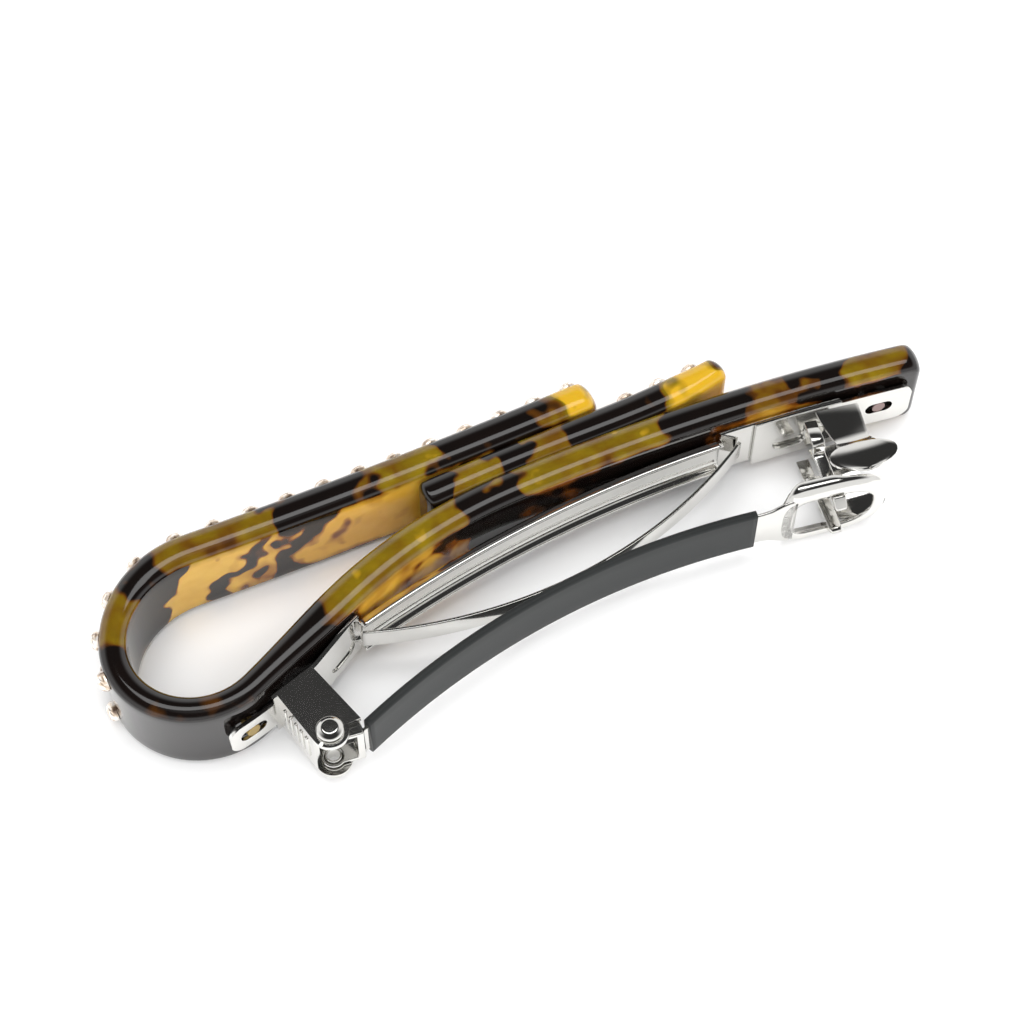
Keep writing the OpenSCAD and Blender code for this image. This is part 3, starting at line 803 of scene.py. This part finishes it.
def cad_part(node, name, cut_x, low_side=True):
    """A copy of one end of a CAD piece, closed where it is cut."""
    mesh = bmesh.new()
    mesh.from_mesh(NODES[node].data)
    bmesh.ops.transform(mesh, matrix=NODES[node].matrix_world, verts=mesh.verts)
    bmesh.ops.remove_doubles(mesh, verts=mesh.verts, dist=WELD)
    cut = bmesh.ops.bisect_plane(mesh, geom=mesh.verts[:] + mesh.edges[:] + mesh.faces[:],
                                 plane_co=(cut_x * MM, 0, 0), plane_no=(1, 0, 0),
                                 clear_outer=low_side, clear_inner=not low_side)
    rim = [item for item in cut["geom_cut"] if isinstance(item, bmesh.types.BMEdge)]
    bmesh.ops.holes_fill(mesh, edges=rim)
    bmesh.ops.recalc_face_normals(mesh, faces=mesh.faces)
    data = bpy.data.meshes.new(name)
    mesh.to_mesh(data)
    mesh.free()
    made = bpy.data.objects.new(name, data)
    bpy.context.scene.collection.objects.link(made)
    return made


def dress(made, material, slot, body, *nodes):
    """Gives a piece its material and its body, and hides the CAD nodes that it stands for. The slot argument
    is not used.
    """
    made.data.materials.clear()
    made.data.materials.append(material)
    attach(made, body)
    if nodes:
        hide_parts(*nodes)
    return made


def finish_cad(node, material, bevel):
    """Keeps a CAD piece as it is, with softened edges and a material."""
    piece = NODES[node]
    piece.data.materials.clear()
    piece.data.materials.append(material)
    weld = piece.modifiers.new("weld", "WELD")
    weld.merge_threshold = WELD
    merge_flat_faces(piece)
    soften_edges(piece, bevel, CAD_EDGE)


# ---------------------------------------------------------------- stones
def stones_mesh(name, sites):
    """Brilliants on the sites given, each with flat facets and a flat table."""
    facet = 360 / STONE_SIDES
    vertices, faces = [], []
    for origin, outward in sites:
        side = Vector((0, 0, 1)).cross(outward)
        base = len(vertices)
        for width, height, turn in STONE_RINGS:
            radius = STONE_RADIUS * width
            for k in range(STONE_SIDES):
                angle = math.radians(facet * (k + turn))
                spot = origin + outward * STONE_RISE * height + side * (radius * math.cos(angle))
                vertices.append((spot + Vector((0, 0, radius * math.sin(angle)))) * MM)
        for face in bar_faces(len(STONE_RINGS), STONE_SIDES):
            faces.append(tuple(base + k for k in face))
    return mesh_object(name, vertices, faces, smooth=False)


def stone_sites(start, heading, pieces, taper, row, side, up):
    """Where a row's stones sit on a strip's broad face, and which way each one faces."""
    count, first = row
    sites = []
    for k in range(count):
        distance = first + k * STONE_PITCH
        x, y, angle = point_on_walk(start, heading, pieces, distance)
        outward = Vector((-math.sin(angle), math.cos(angle), 0)) * side
        depth = along_taper(pieces, taper, distance) / 2
        sites.append((Vector((x, y, up)) + outward * depth, outward))
    return sites


def add_stones():
    material = crystal()
    heights = {"upper": STRIP_WIDTH / MM - STONE_INSET, "lower": STONE_INSET}
    for row, up in heights.items():
        outer = stone_sites(STRIP_START, STRIP_HEADING, STRIP_WALK, STRIP_TAPER, OUTER_STONES, -1, up)
        middle = stone_sites(MIDDLE_START, MIDDLE_HEADING, MIDDLE_WALK, MIDDLE_TAPER, MIDDLE_STONES, 1, up)
        for part, sites in (("outer", outer), ("middle", middle)):
            node = f"stones_{part}_{row}"
            dress(stones_mesh(f"{node}_cut", sites), material, "crystal", "barrette", node)


# ---------------------------------------------------------------- the acetate
# Tone along each strip's upper edge, as (distance in mm, 0 dark to 1 clear).
LOOP_TONES = [(0, 1.0), (3, 0.95), (4.5, 0.5), (6.5, 0.15), (17, 0.1), (18.5, 0.7), (23, 0.75),
              (24.5, 0.1), (33.5, 0.1), (35, 0.72), (40, 0.55), (45, 0.72), (48.5, 0.15), (51, 0.7),
              (54.5, 0.7), (57, 0.15), (70, 0.3), (73, 0.1), (81, 0.1), (85, 0.7), (99, 0.7), (101.5, 0.1),
              (104.5, 0.1), (106.5, 0.75), (113, 0.7), (115, 0.5), (117, 0.75), (120, 0.7), (122.5, 0.12),
              (129.5, 0.1), (131.5, 0.6), (136, 0.5), (137.5, 0.1), (141, 0.1), (143.5, 0.72), (147, 0.65),
              (148.5, 0.1), (149.1, 0.1)]
MIDDLE_TONES = [(0, 0.1), (1.5, 0.1), (3, 0.7), (6.5, 0.7), (8, 0.1), (11, 0.1), (12.5, 0.65), (15, 0.65),
                (17, 0.1), (25, 0.1), (27, 0.8), (29, 1.0), (32.2, 1.0), (33.3, 0.4)]
# Tone along the middle of each strip's broad faces.
LOOP_FACE_TONES = [(0, 0.8), (6, 0.2), (12, 0.1), (15, 0.85), (28, 0.9), (29.5, 0.5), (30.5, 0.18),
                   (33.5, 0.18), (34.7, 0.68), (36, 0.68), (37, 0.2), (39.3, 0.2), (40.6, 0.85), (44, 0.95),
                   (45.5, 0.1), (70, 0.05), (84, 0.1), (88, 0.75), (96, 0.6), (98, 0.1), (110, 0.3),
                   (126, 0.1), (134, 0.65), (137, 0.55), (139, 0.1), (149.1, 0.1)]
MIDDLE_FACE_TONES = [(0, 0.1), (5, 0.1), (12, 0.6), (20, 0.15), (28, 0.9), (33.3, 0.9)]


def add_strip(node, start, heading, pieces, taper, end_rounds, edge_tones, face_tones):
    length = sum(piece[0] for piece in pieces)
    material = tortoiseshell(f"tortoiseshell_{node}", length, edge_tones, face_tones)
    made = strip_mesh(f"{node}_polished", start, heading, pieces, taper, *end_rounds)
    dress(made, material, "tortoiseshell", "barrette", node)


def add_acetate():
    add_strip("loop_strip", STRIP_START, STRIP_HEADING, STRIP_WALK, STRIP_TAPER, LOOP_END_ROUNDS,
              LOOP_TONES, LOOP_FACE_TONES)
    add_strip("middle_strip", MIDDLE_START, MIDDLE_HEADING, MIDDLE_WALK, MIDDLE_TAPER, MIDDLE_END_ROUNDS,
              MIDDLE_TONES, MIDDLE_FACE_TONES)


# ---------------------------------------------------------------- the clip
def soften_cut(made, bevel):
    merge_flat_faces(made)
    soften_edges(made, bevel, CAD_EDGE)
    return made


def add_base(nickel):
    hinge_x, latch_x = CHANNEL_ENDS_X
    pieces = [soften_cut(cad_part("clip_base", "clip_base_hinge_end", hinge_x), BASE_BEVEL),
              soften_cut(cad_part("clip_base", "clip_base_latch_end", latch_x, low_side=False), BASE_BEVEL),
              channel_mesh("clip_base_channel"), wall_ribs("hinge_wall_ribs")]
    for made in pieces:
        dress(made, nickel, "nickel", "barrette", "clip_base")


def add_arm(nickel):
    fork = soften_cut(cad_part("arm_core", "arm_fork", FORK_CUT_X), FORK_BEVEL)
    for made in (fork, ring_mesh("arm_ring"), neck_mesh("arm_neck")):
        dress(made, nickel, "nickel", "arm", "arm_core")


def add_latch(nickel):
    for row, flip in (("upper", 1), ("lower", -1)):
        pieces = [lever_mesh(f"latch_{row}_leg_and_pad", flip), prong_mesh(f"latch_{row}_prong", flip),
                  barb_mesh(f"latch_{row}_barb", flip)]
        for made in pieces:
            dress(made, nickel, "nickel", f"{row}_latch", f"latch_lever_{row}")


def add_sleeve():
    section = rounded_section(SLEEVE_THICKNESS / 2, SLEEVE_WIDTH / 2, SLEEVE_ROUND, side_steps=4)
    made = arc_bar("arm_sleeve_smooth", ARM_CENTRE, ARM_RADIUS, SLEEVE_ANGLES, section)
    dress(made, satin_sleeve(), "black_sleeve", "arm", "arm_sleeve")


def add_spring(nickel):
    section = rounded_section(SPRING_THICKNESS / 2, SPRING_WIDTH / 2, SPRING_ROUND)
    made = arc_bar("tension_spring_smooth", SPRING_CENTRE, SPRING_RADIUS, SPRING_ANGLES, section)
    dress(made, nickel, "nickel", "barrette", "tension_spring")


def add_clip():
    nickel = plated_steel("nickel", NICKEL, roughness=0.07)
    for node, bevel in CAD_BEVELS.items():
        finish_cad(node, nickel, bevel)
    gilt = plated_steel("gilt_rivet", GILT_RIVET, RIVET_ROUGHNESS)
    finish_cad("tongue_rivet_left", gilt, RIVET_BEVEL)
    worn = plated_steel("worn_rivet", WORN_RIVET, RIVET_ROUGHNESS)
    finish_cad("tongue_rivet_right", worn, RIVET_BEVEL)
    add_base(nickel)
    add_arm(nickel)
    add_latch(nickel)
    add_sleeve()
    add_spring(nickel)


# ---------------------------------------------------------------- the studio
def add_light(name, spot, size, power, reflected):
    """A rectangular softbox aimed at the origin. An unreflected one doesn't show in the metal."""
    data = bpy.data.lights.new(name, "AREA")
    data.shape = "RECTANGLE"
    data.size, data.size_y = size
    data.energy = power
    light = bpy.data.objects.new(name, data)
    light.location = spot
    light.rotation_euler = Vector(spot).to_track_quat("Z", "Y").to_euler()
    light.visible_glossy = reflected
    bpy.context.scene.collection.objects.link(light)


def add_world():
    """White round the horizon and below it, dark overhead and grey at the top, as in a tabletop cove."""
    world = bpy.data.worlds.new("studio")
    world.use_nodes = True
    tree = world.node_tree
    direction = tree.nodes.new("ShaderNodeTexCoord").outputs["Generated"]
    height = tree.nodes.new("ShaderNodeSeparateXYZ")
    tree.links.new(direction, height.inputs["Vector"])
    ramp = tree.nodes.new("ShaderNodeValToRGB")
    set_stops(ramp.color_ramp, WORLD_STOPS, smooth=True)
    tree.links.new(height.outputs["Z"], ramp.inputs["Fac"])
    tree.links.new(ramp.outputs["Color"], tree.nodes["Background"].inputs["Color"])
    bpy.context.scene.world = world


def add_studio():
    add_world()
    corners = [(-FLOOR_HALF, -FLOOR_HALF, 0), (FLOOR_HALF, -FLOOR_HALF, 0),
               (FLOOR_HALF, FLOOR_HALF, 0), (-FLOOR_HALF, FLOOR_HALF, 0)]
    floor = mesh_object("floor", corners, [(0, 1, 2, 3)], closed=False)
    floor.data.materials.append(studio_floor())
    add_light("overhead_fill", spot=(0.0, -0.1, 0.9), size=(1.2, 1.2), power=8.5, reflected=False)
    add_light("front_fill", spot=(-0.25, -0.7, 0.45), size=(0.8, 0.5), power=4.5, reflected=False)
    add_light("edge_streak", spot=(0.08, 0.14, 0.80), size=(0.70, 0.26), power=1.4, reflected=True)


add_camera()
add_acetate()
add_stones()
add_clip()
add_studio()
bpy.context.scene.view_settings.view_transform = "Standard"
